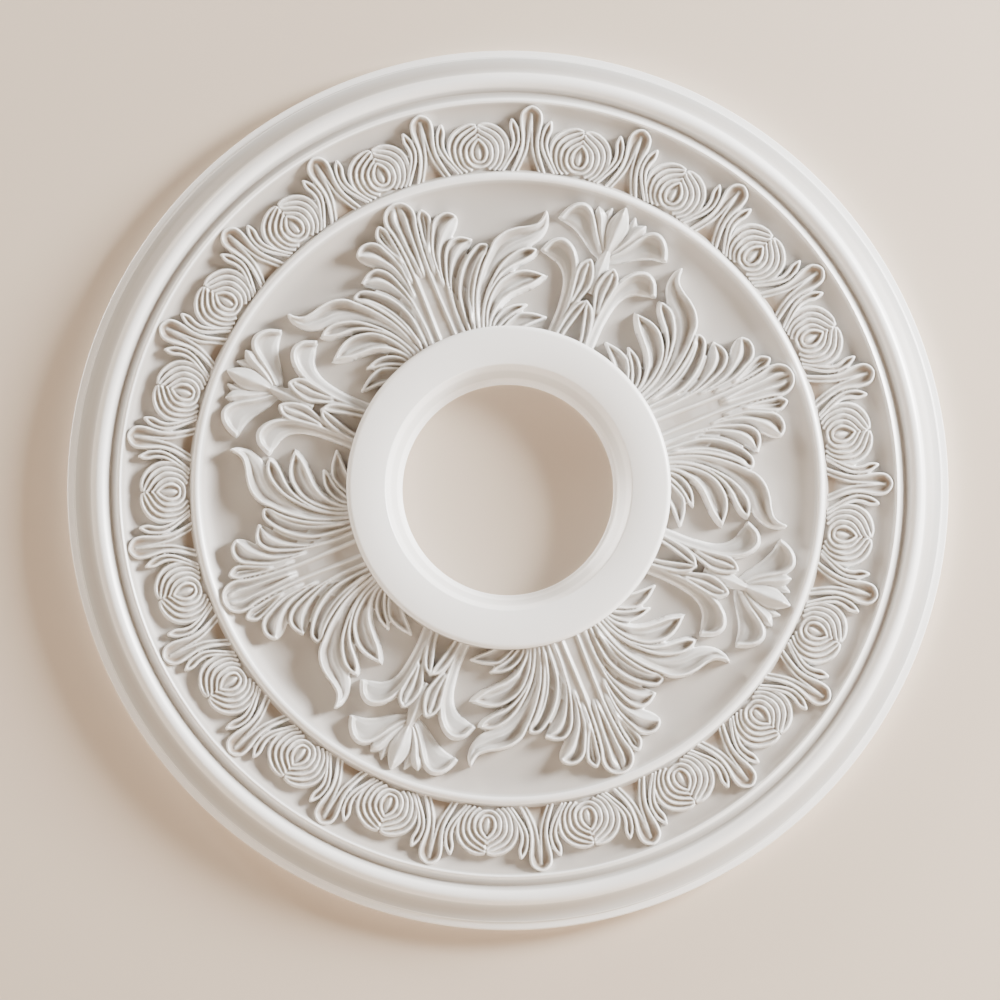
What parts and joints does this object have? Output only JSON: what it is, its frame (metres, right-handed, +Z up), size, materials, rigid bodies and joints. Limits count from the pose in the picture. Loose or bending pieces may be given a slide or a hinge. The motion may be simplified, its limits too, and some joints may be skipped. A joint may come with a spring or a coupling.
{
  "type": "ceiling rose",
  "caption": "Round moulded ceiling rose with acanthus leaves, lilies and a bud-and-tongue band round a central hole for a light fitting.",
  "frame": {"origin": "centre of the flat back, on the axis of the central hole, where the rose is fixed to its ceiling", "axes": "+Y goes into the ceiling and the ornament faces -Y; +Z is up and +X is right, seen from the front as pictured"},
  "size_m": [0.4, 0.02, 0.4],
  "materials": {
    "ceiling_rose": "primed white moulded foam, satin"
  },
  "bodies": {
    "root": {"ceiling_rose": "ceiling_rose"}
  },
  "joints": []
}
